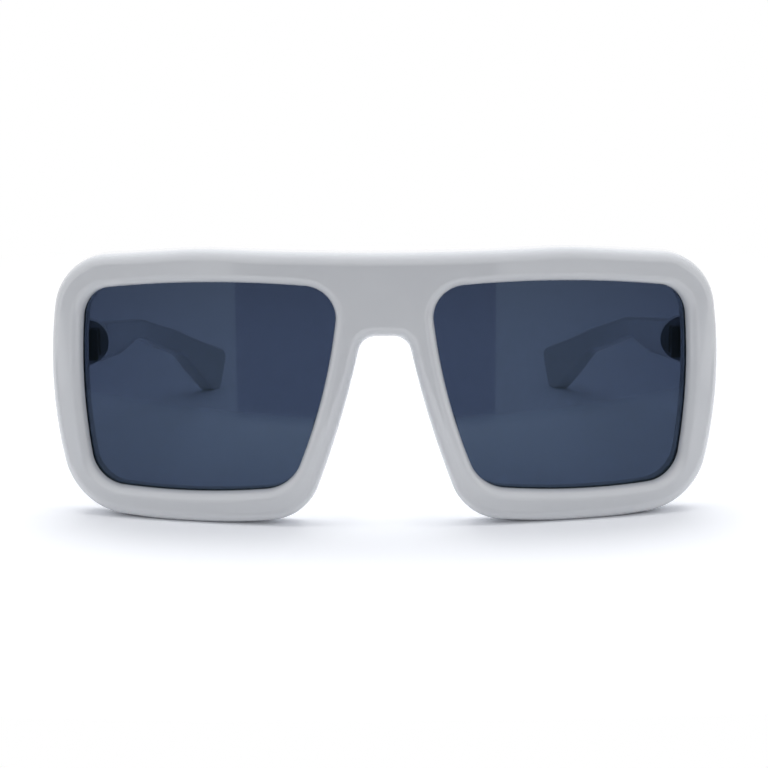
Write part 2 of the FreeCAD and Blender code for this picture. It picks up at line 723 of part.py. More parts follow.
def front_outline():
    """The whole outline of the front, from the left temple round under the nose and back."""
    # The side of the nose stands out towards the gap, away from the rim
    half = [
        ("nose_high_x", "nose_height", "nose_arch_radius", "nose_side_radius"),
        ("nose_foot_x", "rim_rise", "nose_low_radius", "rest_inner_radius"),
        ("rest_inner_x", "floor_z", None, None),
        ("rest_outer_x", "floor_z", None, "rest_outer_radius"),
        ("lower_corner_x", "rim_rise", "lower_corner_radius", "side_curve_radius"),
        ("upper_corner_x", "upper_corner_z", "upper_corner_radius", None),
        ("brow_peak_x", "front_height", "brow_blend_radius", "-brow_dip_radius"),
    ]
    *other_half, (across, up, radius, _) = mirrored_corners(half)
    return [*half, *other_half, (across, up, radius, None)]


def lens_outline(outline):
    """Corners of a lens outline on its own plane, turning left."""
    names = [f"{outline}_{corner}" for corner in reversed(LENS_CORNERS)]
    return [(f"{name}_u", f"{name}_z", f"{name}_radius", f"{name}_side") for name in names]


def tilted_sketch(model, body, name, corners, side):
    """A sketch on the tilted plane of one lens, side 1 for the left and -1 for the right."""
    sketch = new_sketch(model, body, name, "XZ")
    sketch.AttachmentOffset = Placement(Vector(), Rotation(Vector(0, 1, 0), side))
    sign = "" if side > 0 else "-"
    model.bind(
        sketch,
        AttachmentOffset__Base__x=f"{sign}lens_centre_x",
        AttachmentOffset__Base__z="-lens_centre_y",
        AttachmentOffset__Rotation__Angle=f"{sign}lens_tilt",
    )
    return draw_outline(model, sketch, corners if side > 0 else mirrored_corners(corners))


def lens_body(model, name, outline, front_curve, back_curve):
    """A curved slab of the left lens's outline, between two arcs of the plan."""
    body = new_body(model, name)
    sketch = tilted_sketch(model, body, f"{name}_outline", lens_outline(outline), 1)
    add_feature(model, body, "Pad", sketch, "lens_reach")
    shape_between_curves(model, body, name, front_curve, back_curve)
    return body


def mirrored_copy(model, source, name):
    copy = model.doc.addObject("Part::Mirroring", name)
    copy.Source = source
    copy.Normal = Vector(1, 0, 0)
    return copy


def front_frame(model, seat):
    """The front: an outline of one piece, bent to a curve, rounded, and grooved for the lenses."""
    body = new_body(model, "front_body")
    outline = outline_sketch(model, body, "front_outline", "XZ", front_outline())
    add_feature(model, body, "Pad", outline, "far")
    shape_between_curves(model, body, "front", "face_curve", "back_curve")
    for side, label in ((1, "left"), (-1, "right")):
        opening = tilted_sketch(model, body, f"opening_{label}", lens_outline("opening"), side)
        cut_feature(model, body, opening, "lens_reach")

    front_radius, back_radius = model.number("front_curve_radius"), model.number("back_radius")
    for name, radius, outer_round, opening_round in (
        ("front", front_radius, "rim_round", "opening_round"),
        ("back", back_radius, "rim_back", "opening_back_round"),
    ):
        face = curved_face(body.Tip.Shape, radius)
        round_edges(model, body, f"{name}_rim_round", face.OuterWire.Edges, outer_round)
        face = curved_face(body.Tip.Shape, radius)
        openings = [edge for wire in face.Wires if not wire.isSame(face.OuterWire) for edge in wire.Edges]
        round_edges(model, body, f"{name}_opening_round", openings, opening_round)

    endpiece = rectangle(
        "endpiece_inner_x", "endpiece_outer_x", "endpiece_low_z", "endpiece_high_z", "endpiece_round"
    )
    for sign, label, corners in (("", "left", endpiece), ("-", "right", mirrored_corners(endpiece))):
        sketch = outline_sketch(model, body, f"endpiece_{label}", "XZ", corners, "endpiece_mid_y")
        add_feature(model, body, "Pad", sketch, "endpiece_root")
        holes = new_sketch(model, body, f"endpiece_holes_{label}", "XZ", "seat_y")
        for height in ("screw_lower_z", "screw_upper_z"):
            draw_circle(model, holes, f"{sign}screw_x", height, "screw_hole_radius")
        cut_feature(model, body, holes, "front_hole_length")

    seats = model.doc.addObject("Part::MultiFuse", "lens_seats")
    seats.Shapes = [seat, mirrored_copy(model, seat, "lens_seat_right")]
    frame = model.doc.addObject("Part::Cut", "front_frame")
    frame.Base = body
    frame.Tool = seats
    return frame


def nose_pad(model):
    """A leaf-shaped pad bonded to the back of the front beside the nose."""
    body = new_body(model, "nose_pad_body")
    leaf = [
        ("pad_low_x", "pad_low_z", "pad_tip_round", "pad_side_radius"),
        ("pad_high_x", "pad_high_z", "pad_tip_round", "pad_side_radius"),
    ]
    add_feature(model, body, "Pad", outline_sketch(model, body, "pad_outline", "XZ", leaf), "far")
    shape_between_curves(model, body, "pad", "bond_curve", "pad_back_curve")
    back = curved_face(body.Tip.Shape, model.number("pad_back_curve_radius"))
    round_edges(model, body, "pad_round", back.OuterWire.Edges, "pad_edge_round")
    return body


def arm_blank(model, name, side_corners, curve):
    """A bar with a side outline and a plan that runs straight and then bends inwards."""
    body = new_body(model, name)
    side = outline_sketch(model, body, f"{name}_side", "YZ", side_corners, "temple_mid_x")
    add_feature(model, body, "Pad", side, "temple_span")
    outer, inner = f"plan_{curve}outer", f"plan_{curve}inner"
    outside = [
        (f"{outer}_front_x", "plan_start_y", None, None),
        ("far", "plan_start_y", None, None),
        ("far", "plan_end_y", None, None),
        (f"{outer}_tip_x", "plan_end_y", None, f"-{outer}_radius"),
        (f"{outer}_bend_x", "bend_y", None, None),
    ]
    inside = [
        (f"{inner}_front_x", "plan_start_y", None, None),
        (f"{inner}_bend_x", "bend_y", None, f"{inner}_radius"),
        (f"{inner}_tip_x", "plan_end_y", None, None),
        ("plan_near_x", "plan_end_y", None, None),
        ("plan_near_x", "plan_start_y", None, None),
    ]
    cut_feature(model, body, outline_sketch(model, body, f"{name}_outside", "XY", outside))
    cut_feature(model, body, outline_sketch(model, body, f"{name}_inside", "XY", inside))
    return body


def wire_outline(name):
    return [
        ("boss_face_y", f"{name}_start_low_z", None, None),
        ("wire_neck_y", f"{name}_neck_low_z", "wire_bend_radius", None),
        (f"{name}_stop_y", f"{name}_end_low_z", None, None),
        (f"{name}_stop_y", f"{name}_end_high_z", None, None),
        ("wire_neck_y", f"{name}_neck_high_z", "wire_bend_radius", None),
        ("boss_face_y", f"{name}_start_high_z", None, None),
    ]


def temple(model, channel):
    """A side arm: butt and boss at the hinge, a waist, and a tip that flares and bends inwards."""
    side = [
        ("butt_y", "butt_low_z", None, None),
        ("belly_y", "belly_z", "temple_belly_radius", None),
        ("neck_low_y", "neck_low_z", "temple_neck_radius", None),
        ("throat_y", "throat_z", "temple_throat_radius", None),
        ("heel_y", "floor_z", "temple_heel_radius", None),
        ("tip_low_y", "floor_z", "tip_low_round", None),
        ("temple_end_y", "temple_tip_height", "tip_high_round", None),
        ("shoulder_y", "shoulder_z", "temple_shoulder_radius", None),
        ("neck_high_y", "neck_high_z", "temple_shoulder_radius", None),
        ("butt_y", "butt_high_z", None, None),
    ]
    body = arm_blank(model, "temple_body", side, "")
    long_edges = []
    for edge in body.Tip.Shape.Edges:
        run = edge.Vertexes[-1].Point - edge.Vertexes[0].Point
        across_only = abs(run.y) + abs(run.z) < TOLERANCE
        upright = abs(run.x) + abs(run.y) < TOLERANCE
        if not across_only and not upright:
            long_edges.append(edge)
    round_edges(model, body, "temple_round_edges", long_edges, "temple_edge_round")

    boss = new_sketch(model, body, "boss_profile", "XY", "hinge_z")
    model.bind(boss, AttachmentOffset__Base__x="boss_x")
    draw_outline(model, boss, [
        ("-boss_radius", "boss_face_y", None, None),
        ("on_axis", "boss_face_y", None, None),
        ("on_axis", "boss_end_y", None, None),
        ("-boss_nose_radius", "boss_end_y", None, "boss_curve_radius"),
    ])
    turned = body.newObject("PartDesign::Revolution", "boss")
    turned.Profile = boss
    turned.ReferenceAxis = (boss, ["V_Axis"])
    model.doc.recompute()

    room = rectangle("plan_near_x", "temple_wall_x", "plan_start_y", "boss_face_y")
    cut_feature(model, body, outline_sketch(model, body, "hinge_room", "XY", room))
    holes = new_sketch(model, body, "temple_holes", "XZ", "boss_face_y")
    for height in ("screw_lower_z", "screw_upper_z"):
        draw_circle(model, holes, "screw_x", height, "screw_hole_radius")
    cut_feature(model, body, holes, "temple_hole_length")

    arm = model.doc.addObject("Part::Cut", "temple_left")
    arm.Base = body
    arm.Tool = channel
    return arm


def hinge_leaf(model, name, plate, plate_y, knuckle, levels, hole_heights):
    """A hinge leaf: a flat plate with knuckles that stand out to the axis."""
    body = new_body(model, name)
    sketch = outline_sketch(model, body, f"{name}_plate", "XZ", plate, plate_y)
    add_feature(model, body, "Pad", sketch, "leaf_thickness")
    for index, level in enumerate(levels):
        sketch = outline_sketch(model, body, f"{name}_knuckle_{index}", "XY", knuckle, level)
        add_feature(model, body, "Pad", sketch, "knuckle_height")
    bore = new_sketch(model, body, f"{name}_bore", "XY")
    draw_circle(model, bore, "hinge_x", "axis_y", "pin_hole_radius")
    cut_feature(model, body, bore)
    holes = new_sketch(model, body, f"{name}_holes", "XZ")
    for height in hole_heights:
        draw_circle(model, holes, "screw_x", height, "screw_hole_radius")
    cut_feature(model, body, holes)
    return body


def hinge_leaves(model):
    """The leaf on the front has two knuckles, and the leaf on the temple has the one between."""
    heights = ("screw_lower_z", "screw_upper_z")
    leaves = {}
    for name, face_y, far_y, levels in (
        ("front_leaf", "front_leaf_face_y", "knuckle_back_y", ("knuckle_low_z", "knuckle_high_z")),
        ("temple_leaf", "temple_leaf_face_y", "knuckle_front_y", ("hinge_z",)),
    ):
        plate = rectangle(
            "leaf_inner_x", f"{name}_outer_x", f"{name}_low_z", f"{name}_high_z", "leaf_round"
        )
        ends = [(f"{name}_mid_y", None), (far_y, "knuckle_round")]
        (low_y, low_round), (high_y, high_round) = sorted(ends, key=lambda end: model.number(end[0]))
        knuckle = [
            ("knuckle_inner_x", low_y, low_round, None),
            ("knuckle_outer_x", low_y, low_round, None),
            ("knuckle_outer_x", high_y, high_round, None),
            ("knuckle_inner_x", high_y, high_round, None),
        ]
        leaves[name] = hinge_leaf(model, f"hinge_{name}", plate, f"{name}_mid_y", knuckle, levels, heights)
    return leaves


def turned_screw(model, name, plane, offsets, profile, slot):
    """A screw: a profile turned about its own upright, with a slot cut across the head."""
    body = new_body(model, name)
    sketches = []
    for part, corners in (("profile", profile), ("slot", slot)):
        sketch = new_sketch(model, body, f"{name}_{part}", plane)
        model.bind(sketch, **offsets)
        sketches.append(draw_outline(model, sketch, corners))
    turned = body.newObject("PartDesign::Revolution", f"{name}_turned")
    turned.Profile = sketches[0]
    turned.ReferenceAxis = (sketches[0], ["V_Axis"])
    model.doc.recompute()
    cut_feature(model, body, sketches[1])
    return body


def screw_profile(shank, head, end, face, top):
    """Half a screw, from the end of its shank past the face it bears on to the top of its head."""
    return [
        ("on_axis", end, None, None),
        (shank, end, None, None),
        (shank, face, None, None),
        (head, face, None, None),
        (head, top, None, None),
        ("on_axis", top, None, None),
    ]


def screws(model):
    """The pivot screw of a hinge, and the four small screws that hold its leaves."""
    pin = screw_profile(
        "pin_radius", "pin_head_radius", "knuckle_bottom_z", "knuckle_top_z", "pin_head_top_z"
    )
    pin_offsets = {"AttachmentOffset__Base__x": "hinge_x", "AttachmentOffset__Base__z": "-axis_y"}
    pin_slot = rectangle("-slot_half", "slot_half", "pin_slot_low_z", "pin_slot_high_z")
    bodies = {"hinge_pin_screw": turned_screw(model, "pin", "XZ", pin_offsets, pin, pin_slot)}
    for place in ("front", "temple"):
        profile = screw_profile(
            "screw_radius",
            "screw_head_radius",
            f"{place}_screw_end_y",
            f"{place}_leaf_face_y",
            f"{place}_screw_top_y",
        )
        if place == "temple":
            # These screws point backwards, so the profile is followed the other way
            profile = profile[::-1]
        slot = rectangle("-slot_half", "slot_half", f"{place}_slot_low_y", f"{place}_slot_high_y")
        for word in ("lower", "upper"):
            offsets = {
                "AttachmentOffset__Base__x": "screw_x",
                "AttachmentOffset__Base__z": f"screw_{word}_z",
            }
            name = f"{place}_leaf_screw_{word}"
            bodies[name] = turned_screw(model, name, "XY", offsets, profile, slot)
    return bodies


def check(model):
    """Stops if any object failed or any sub-part is not a sound solid."""
    for item in model.doc.Objects:
        if "Invalid" in item.State or "Error" in item.State:
            raise RuntimeError(f"{item.Label} failed: {item.State}")
        if item.TypeId == "Sketcher::SketchObject" and (item.solve() != 0 or not item.FullyConstrained):
            raise RuntimeError(f"{item.Label} isn't fixed by its constraints")
    for item in model.sub_parts:
        shape = item.Shape
        if shape.isNull() or not shape.isValid() or not shape.Solids:
            raise RuntimeError(f"{item.Label} is not a sound solid")


def build():
    model = Model()
    model.add_places({
        **front_places(),
        **lens_places(),
        **curve_places("face_curve", "sizes.front_curve_radius"),
        **curve_places("back_curve", "places.back_radius"),
        **curve_places("lens_front_curve", "places.lens_radius"),
        **curve_places("lens_back_curve", "places.lens_radius - sizes.lens_thickness"),
        **curve_places("seat_front_curve", "places.lens_radius + sizes.seat_clearance"),
        **curve_places("seat_back_curve", "places.lens_back_curve_radius - sizes.seat_clearance"),
        **curve_places("bond_curve", "places.back_radius - sizes.bond_gap"),
        **curve_places("pad_back_curve", "places.back_radius - sizes.pad_depth"),
        **pad_places(),
        **hinge_places(),
        **temple_places(),
        "front_hole_length": "2 * (places.seat_y - places.front_hole_end_y)",
        "temple_hole_length": "2 * (places.temple_hole_end_y - places.boss_face_y)",
    })

    seat = lens_body(model, "lens_seat", "seat", "seat_front_curve", "seat_back_curve")
    model.hand_over(front_frame(model, seat), "front_frame")

    channel = arm_blank(model, "wire_channel", wire_outline("channel"), "channel_")
    lefts = {
        "lens": lens_body(model, "lens", "glass", "lens_front_curve", "lens_back_curve"),
        "nose_pad": nose_pad(model),
        "temple": temple(model, channel),
        "core_wire": arm_blank(model, "core_wire", wire_outline("wire"), "wire_"),
    }
    for name, leaf in hinge_leaves(model).items():
        lefts[f"hinge_{name}"] = leaf
    lefts.update(screws(model))
    for name, left in lefts.items():
        right = mirrored_copy(model, left, f"{name}_mirrored")
        model.hand_over(left, f"{name}_left")
        model.hand_over(right, f"{name}_right")

    model.doc.recompute()
    check(model)
    os.makedirs("parts", exist_ok=True)
    for item in model.sub_parts:
        item.Shape.exportStep(os.path.join("parts", f"{item.Label}.step"))
        box = item.Shape.optimalBoundingBox()
        print(f"{item.Label}: {item.Shape.Volume:.2f} mm3, x {box.XMin:.2f} {box.XMax:.2f},"
              f" y {box.YMin:.2f} {box.YMax:.2f}, z {box.ZMin:.2f} {box.ZMax:.2f}")


build()
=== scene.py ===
import json
import math

import bpy
from mathutils import Matrix, Vector


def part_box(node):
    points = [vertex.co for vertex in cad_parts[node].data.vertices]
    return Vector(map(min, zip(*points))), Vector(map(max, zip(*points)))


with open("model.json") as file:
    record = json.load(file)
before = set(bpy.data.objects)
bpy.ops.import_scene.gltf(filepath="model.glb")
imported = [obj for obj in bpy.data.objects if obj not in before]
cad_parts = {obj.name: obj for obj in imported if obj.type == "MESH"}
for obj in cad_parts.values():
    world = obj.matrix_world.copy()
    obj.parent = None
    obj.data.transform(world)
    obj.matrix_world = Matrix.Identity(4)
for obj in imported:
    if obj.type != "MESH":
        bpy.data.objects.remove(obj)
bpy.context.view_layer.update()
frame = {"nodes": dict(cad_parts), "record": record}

# White oversized sunglasses on a white table, lit from above by a soft box.
# Metres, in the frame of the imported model: +Z up, and the front faces -Y.

MM = 0.001
WHITE = (1, 1, 1, 1)
BLACK = (0, 0, 0, 1)

# Camera, fitted to the rims, the temple tips and their contact with the table
CAMERA_LENS_MM = 90.0
CAMERA_SENSOR_MM = 36.0
CAMERA_DISTANCE = 409.5 * MM
CAMERA_SIDE = -0.2 * MM
CAMERA_HEIGHT = 116.6 * MM
CAMERA_PITCH = math.radians(11.605)
CAMERA_ROLL = math.radians(-0.31)
# A camera that isn't turned looks straight down, and this turn makes it look level
LEVEL_TURN = math.radians(90)
MATRIX_SIZE = 4

# Noise lies mostly between these values, which a spread stretches to a range of its own
NOISE_MIDDLE = (0.25, 0.75)

# Polished white plastic
PLASTIC_COLORS = ((0.775, 0.80, 0.855, 1), (0.81, 0.835, 0.885, 1))
PLASTIC_CLOUD = {"size": 14 * MM, "detail": 3}
PLASTIC_MARKS = {"size": 2.5 * MM, "detail": 6, "roughness": 0.65}
PLASTIC_ROUGHNESS = (0.04, 0.09)
PLASTIC_IOR = 1.49
PLASTIC_COAT_ROUGHNESS = 0.03
PLASTIC_RIPPLE = {"size": 9 * MM}
PLASTIC_RIPPLE_DEPTH = 0.004 * MM
PLASTIC_GRAIN = {"size": 0.5 * MM, "detail": 3}
PLASTIC_GRAIN_DEPTH = 0.002 * MM

# Smoke lens: the light that it lets through, and the tint of what it mirrors
LENS_COLOR = (0.0323, 0.0458, 0.0815, 1)
LENS_MIRROR_TINT = (0.6, 0.84, 1.0, 1)
LENS_IOR = 1.5
LENS_WIPES = {"size": 12 * MM, "detail": 5, "roughness": 0.7}
LENS_ROUGHNESS = (0.0, 0.015)

# Metals, with the patches and wear that they share
METAL_PATCHES = {"size": 1.2 * MM, "detail": 4}
METAL_WEAR = {"size": 0.6 * MM, "detail": 4}
METALS = {
    "hinge_metal": {
        "colors": ((0.012, 0.012, 0.013, 1), (0.03, 0.03, 0.032, 1)),
        "roughness": (0.3, 0.5),
        "grain_size": 0.15 * MM,
        "grain_depth": 0.003 * MM,
    },
    "screw_steel": {
        "colors": ((0.42, 0.42, 0.43, 1), (0.55, 0.55, 0.56, 1)),
        "roughness": (0.25, 0.4),
        "grain_size": 0.1 * MM,
        "grain_depth": 0.002 * MM,
    },
    "core_steel": {
        "colors": ((0.5, 0.5, 0.51, 1), (0.6, 0.6, 0.61, 1)),
        "roughness": (0.2, 0.35),
        "grain_size": 0.2 * MM,
        "grain_depth": 0.002 * MM,
    },
}

# Table: the colour that lights the object, the colour that the camera sees, and where it fades to
# plain white. Its near edge is half an ellipse, which fades in mirror images.
FLOOR_HALF_WIDTH = 1.6
FLOOR_BACK_REACH = 3.0
FLOOR_FRONT_REACH = 100 * MM
FLOOR_FRONT_HALF_WIDTH = 280 * MM
FLOOR_FRONT_STEPS = 32
FLOOR_FRONT_SOFT_SHARES = (0.86, 1.14)
FLOOR_WHITE = (0.92, 0.92, 0.92, 1)
FLOOR_SEEN_WHITE = (1.2, 1.22, 1.27, 1)
FLOOR_FADE = (0.12, 0.4)

# Light: a fill that grows from straight down to straight up, and a soft box overhead
STRAIGHT_DOWN_AND_UP = (-1.0, 1.0)
ROOM_FILL = (0.3, 0.56)
SOFT_BOX_SIZE = (0.9, 0.7)
SOFT_BOX_HEIGHT = 0.8
SOFT_BOX_BACK = 0.15
SOFT_BOX_WATTS = 4.5

# What the lenses mirror: the table's near part, with painted shade, and a glowing sheet painted
# as the room behind the camera, both of which grow dimmer sideways as painted shade, and a dark
# sheet painted as a doorway in the middle of that room. The table's image also grows dimmer from
# its near edge to the foot of the front, down to this share, as painted shade.
TABLE_REFLECTION_PAINTED_SHADE = {"near": 0.06, "far": 0.18, "bright": 0.9, "dim": 0.35}
TABLE_REFLECTION_FOOT_SHADE = 0.4
ROOM_REFLECTION_GLOW = {"near": 0.28, "far": 0.75, "bright": 0.55, "dim": 0.08}
ROOM_REFLECTION_SHEET = {"back": 0.60, "left": 0.85, "right": 0.85, "bottom": 0.8, "top": 0.2}
DARK_REFLECTION_SHEET = {"back": 0.55, "left": 0.275, "right": 0.2, "bottom": 0.35, "top": 0.12}
DARK_REFLECTION_GLOW = 0.02


def add_node(tree, kind, inputs=None, **settings):
    """A new node with its settings and constant inputs."""
    node = tree.nodes.new(kind)
    for name, value in settings.items():
        setattr(node, name, value)
    for name, value in (inputs or {}).items():
        node.inputs[name].default_value = value
    return node


def new_material(name, inputs=None):
    """A material with a principled shader and its constant inputs."""
    material = bpy.data.materials.new(name)
    material.use_nodes = True
    tree = material.node_tree
    shader = tree.nodes["Principled BSDF"]
    for socket, value in (inputs or {}).items():
        shader.inputs[socket].default_value = value
    return material, tree, shader


def place_on_surface(tree):
    """Coordinates that move with the piece, in metres."""
    return add_node(tree, "ShaderNodeTexCoord").outputs["Object"]


def coordinate(tree, place, axis):
    """One coordinate of a place or direction."""
    apart = add_node(tree, "ShaderNodeSeparateXYZ")
    tree.links.new(place, apart.inputs["Vector"])
    return apart.outputs[axis]


def length(tree, place):
    """How far a place lies from the origin."""
    node = add_node(tree, "ShaderNodeVectorMath", operation="LENGTH")
    tree.links.new(place, node.inputs[0])
    return node.outputs["Value"]


def stretch(tree, value, old_range, new_range=(0.0, 1.0), interpolation="LINEAR"):
    """A value carried from one range over to another, and held at its ends."""
    inputs = {
        "From Min": old_range[0],
        "From Max": old_range[1],
        "To Min": new_range[0],
        "To Max": new_range[1],
    }
    node = add_node(tree, "ShaderNodeMapRange", inputs, interpolation_type=interpolation)
    tree.links.new(value, node.inputs["Value"])
    return node.outputs["Result"]


def noise(tree, place, size, detail=2.0, roughness=0.5):
    """Noise from 0 to 1 whose blotches are about the given size across."""
    inputs = {"Scale": 1 / size, "Detail": detail, "Roughness": roughness}
    node = add_node(tree, "ShaderNodeTexNoise", inputs)
    tree.links.new(place, node.inputs["Vector"])
    return node.outputs["Fac"]


def blend_colors(tree, factor, colors):
    """A colour between two, by a factor from 0 to 1."""
    node = add_node(tree, "ShaderNodeMix", data_type="RGBA")
    sockets = [socket for socket in node.inputs if socket.type == "RGBA"]
    for socket, color in zip(sockets, colors):
        socket.default_value = color
    tree.links.new(factor, node.inputs["Factor"])
    return [socket for socket in node.outputs if socket.type == "RGBA"][0]


def paint(tree, shader, place, colors, blotches):
    """Colours the shader between two colours, in blotches."""
    factor = stretch(tree, noise(tree, place, **blotches), NOISE_MIDDLE)
    tree.links.new(blend_colors(tree, factor, colors), shader.inputs["Base Color"])


def polish(tree, shader, place, roughness, blotches):
    """Varies the shader's roughness over a range, in blotches."""
    value = stretch(tree, noise(tree, place, **blotches), NOISE_MIDDLE, roughness)
    tree.links.new(value, shader.inputs["Roughness"])


def add_bump(tree, shader, heights):
    """Bumps on the shader's normal, each a height from 0 to 1 with its depth in metres."""
    normal = None
    for height, depth in heights:
        bump = add_node(tree, "ShaderNodeBump", {"Strength": 1.0, "Distance": depth})
        tree.links.new(height, bump.inputs["Height"])
        if normal is not None:
            tree.links.new(normal, bump.inputs["Normal"])
        normal = bump.outputs["Normal"]
    tree.links.new(normal, shader.inputs["Normal"])


def white_plastic():
    """Polished white plastic with a faint cool cloud, soft ripples and fine handling marks."""
    inputs = {"IOR": PLASTIC_IOR, "Coat Weight": 1.0, "Coat Roughness": PLASTIC_COAT_ROUGHNESS}
    material, tree, shader = new_material("white_plastic", inputs)
    place = place_on_surface(tree)
    paint(tree, shader, place, PLASTIC_COLORS, PLASTIC_CLOUD)
    polish(tree, shader, place, PLASTIC_ROUGHNESS, PLASTIC_MARKS)
    ripple = noise(tree, place, **PLASTIC_RIPPLE)
    grain = noise(tree, place, **PLASTIC_GRAIN)
    add_bump(tree, shader, [(ripple, PLASTIC_RIPPLE_DEPTH), (grain, PLASTIC_GRAIN_DEPTH)])
    return material


def smoke_lens():
    """Blue-grey tinted lens, clear through, with the faintest wipe marks in its polish."""
    inputs = {
        "Base Color": LENS_COLOR,
        "Transmission Weight": 1.0,
        "IOR": LENS_IOR,
        "Specular Tint": LENS_MIRROR_TINT,
    }
    material, tree, shader = new_material("smoke_lens", inputs)
    polish(tree, shader, place_on_surface(tree), LENS_ROUGHNESS, LENS_WIPES)
    return material


def metal(name, colors, roughness, grain_size, grain_depth):
    """Metal whose colour and polish vary a little, with a fine grain."""
    material, tree, shader = new_material(name, {"Metallic": 1.0})
    place = place_on_surface(tree)
    paint(tree, shader, place, colors, METAL_PATCHES)
    polish(tree, shader, place, roughness, METAL_WEAR)
    add_bump(tree, shader, [(noise(tree, place, grain_size), grain_depth)])
    return material


def dress():
    """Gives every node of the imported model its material, by the slot that the record names."""
    materials = {"white_plastic": white_plastic(), "smoke_lens": smoke_lens()}
    for name, look in METALS.items():
        materials[name] = metal(name, **look)
    slots = {part["node"]: part["material_slot"] for part in frame["record"]["subparts"]}
    for name, node in frame["nodes"].items():
        node.data.materials.clear()
        node.data.materials.append(materials[slots[name]])


def mix_shaders(tree, factor, low, high):
    """The shader low at factor 0 and high at factor 1."""
    mix = add_node(tree, "ShaderNodeMixShader")
    tree.links.new(factor, mix.inputs["Fac"])
    tree.links.new(low, mix.inputs[1])
    tree.links.new(high, mix.inputs[2])
    return mix.outputs["Shader"]


def ray_is(tree, *kinds):
    """One where a ray is of one of the named kinds, and else zero."""
    path = add_node(tree, "ShaderNodeLightPath")
    total = path.outputs[f"Is {kinds[0]} Ray"]
    for kind in kinds[1:]:
        larger = add_node(tree, "ShaderNodeMath", operation="MAXIMUM")
        tree.links.new(total, larger.inputs[0])
        tree.links.new(path.outputs[f"Is {kind} Ray"], larger.inputs[1])
        total = larger.outputs["Value"]
    return total


def painted_shade_sideways(tree, image):
    """A painted shade: a level that falls from the middle of the stage to both sides."""
    sideways = add_node(tree, "ShaderNodeMath", operation="ABSOLUTE")
    tree.links.new(coordinate(tree, place_on_surface(tree), "X"), sideways.inputs[0])
    reach = (image["near"], image["far"])
    return stretch(tree, sideways.outputs["Value"], reach, (image["bright"], image["dim"]))


def painted_shade_toward_foot(tree, front_y):
    """A painted shade: a share that falls from 1 at the table's near edge to the foot of the
    front.
    """
    depth = coordinate(tree, place_on_surface(tree), "Y")
    return stretch(tree, depth, (front_y - FLOOR_FRONT_REACH, front_y), (1.0, TABLE_REFLECTION_FOOT_SHADE))


def is_behind(tree, depth):
    """One behind the given depth, and else zero."""
    behind = add_node(tree, "ShaderNodeMath", {1: depth}, operation="GREATER_THAN")
    tree.links.new(coordinate(tree, place_on_surface(tree), "Y"), behind.inputs[0])
    return behind.outputs["Value"]


def past_near_edge(tree, front_y):
    """Rises from 0 to 1 across the table's near edge, which is half an ellipse."""
    inputs = {
        "Location": (0, -front_y / FLOOR_FRONT_REACH, 0),
        "Scale": (1 / FLOOR_FRONT_HALF_WIDTH, 1 / FLOOR_FRONT_REACH, 0),
    }
    rounded = add_node(tree, "ShaderNodeMapping", inputs)
    tree.links.new(place_on_surface(tree), rounded.inputs["Vector"])
    reach = length(tree, rounded.outputs["Vector"])
    return stretch(tree, reach, FLOOR_FRONT_SOFT_SHARES, interpolation="SMOOTHSTEP")


def table_reflection_with_painted_shade(tree, seen, front_y):
    """The table in mirror images: painted shade in front of the object, and gone past its near
    edge.
    """
    dark = add_node(tree, "ShaderNodeEmission", {"Strength": 0.0}).outputs["Emission"]
    clear = add_node(tree, "ShaderNodeBsdfTransparent").outputs["BSDF"]
    # Painted shade in the mirror image, sideways and toward the foot of the front
    near_part = mix_shaders(tree, painted_shade_sideways(tree, TABLE_REFLECTION_PAINTED_SHADE), dark, seen)
    near_part = mix_shaders(tree, painted_shade_toward_foot(tree, front_y), dark, near_part)
    near_part = mix_shaders(tree, past_near_edge(tree, front_y), near_part, clear)
    return mix_shaders(tree, is_behind(tree, front_y), near_part, seen)


def floor_material(front_y):
    """White card that keeps the shadow near the object and fades to plain white far from it; in
    mirror images it carries painted shade.
    """
    inputs = {"Base Color": FLOOR_WHITE, "Roughness": 1.0, "Specular IOR Level": 0.0}
    material, tree, shader = new_material("white_card", inputs)
    card = add_node(tree, "ShaderNodeBsdfDiffuse", {"Color": FLOOR_SEEN_WHITE}).outputs["BSDF"]
    glow = add_node(tree, "ShaderNodeEmission", {"Strength": 1.0}).outputs["Emission"]
    away = length(tree, place_on_surface(tree))
    fade = stretch(tree, away, FLOOR_FADE, interpolation="SMOOTHSTEP")
    seen = mix_shaders(tree, fade, card, glow)
    mirrored = table_reflection_with_painted_shade(tree, seen, front_y)
    whole = mix_shaders(tree, ray_is(tree, "Glossy"), shader.outputs["BSDF"], mirrored)
    # A ray through a lens counts as glossy too, so what is seen directly comes last
    whole = mix_shaders(tree, ray_is(tree, "Camera", "Transmission"), whole, seen)
    tree.links.new(whole, tree.nodes["Material Output"].inputs["Surface"])
    return material


def painted_room_reflection_material():
    """A painted reflection of the far side of the room: a glow, dimmer to both sides as painted
    shade.
    """
    material, tree, _ = new_material("painted_room_reflection")
    glow = add_node(tree, "ShaderNodeEmission")
    tree.links.new(painted_shade_sideways(tree, ROOM_REFLECTION_GLOW), glow.inputs["Strength"])
    tree.links.new(glow.outputs["Emission"], tree.nodes["Material Output"].inputs["Surface"])
    return material


def painted_dark_reflection_material():
    """A dark sheet painted as a doorway in mirror images: one even darkness with a faint painted
    glow.
    """
    inputs = {
        "Base Color": BLACK,
        "Specular IOR Level": 0.0,
        "Emission Color": WHITE,
        "Emission Strength": DARK_REFLECTION_GLOW,
    }
    return new_material("painted_dark_reflection", inputs)[0]


def sheet(name, corners, material):
    """A flat stage sheet through its corners."""
    mesh = bpy.data.meshes.new(name)
    mesh.from_pydata([Vector(corner) for corner in corners], [], [range(len(corners))])
    mesh.materials.append(material)
    item = bpy.data.objects.new(name, mesh)
    bpy.context.scene.collection.objects.link(item)
    return item


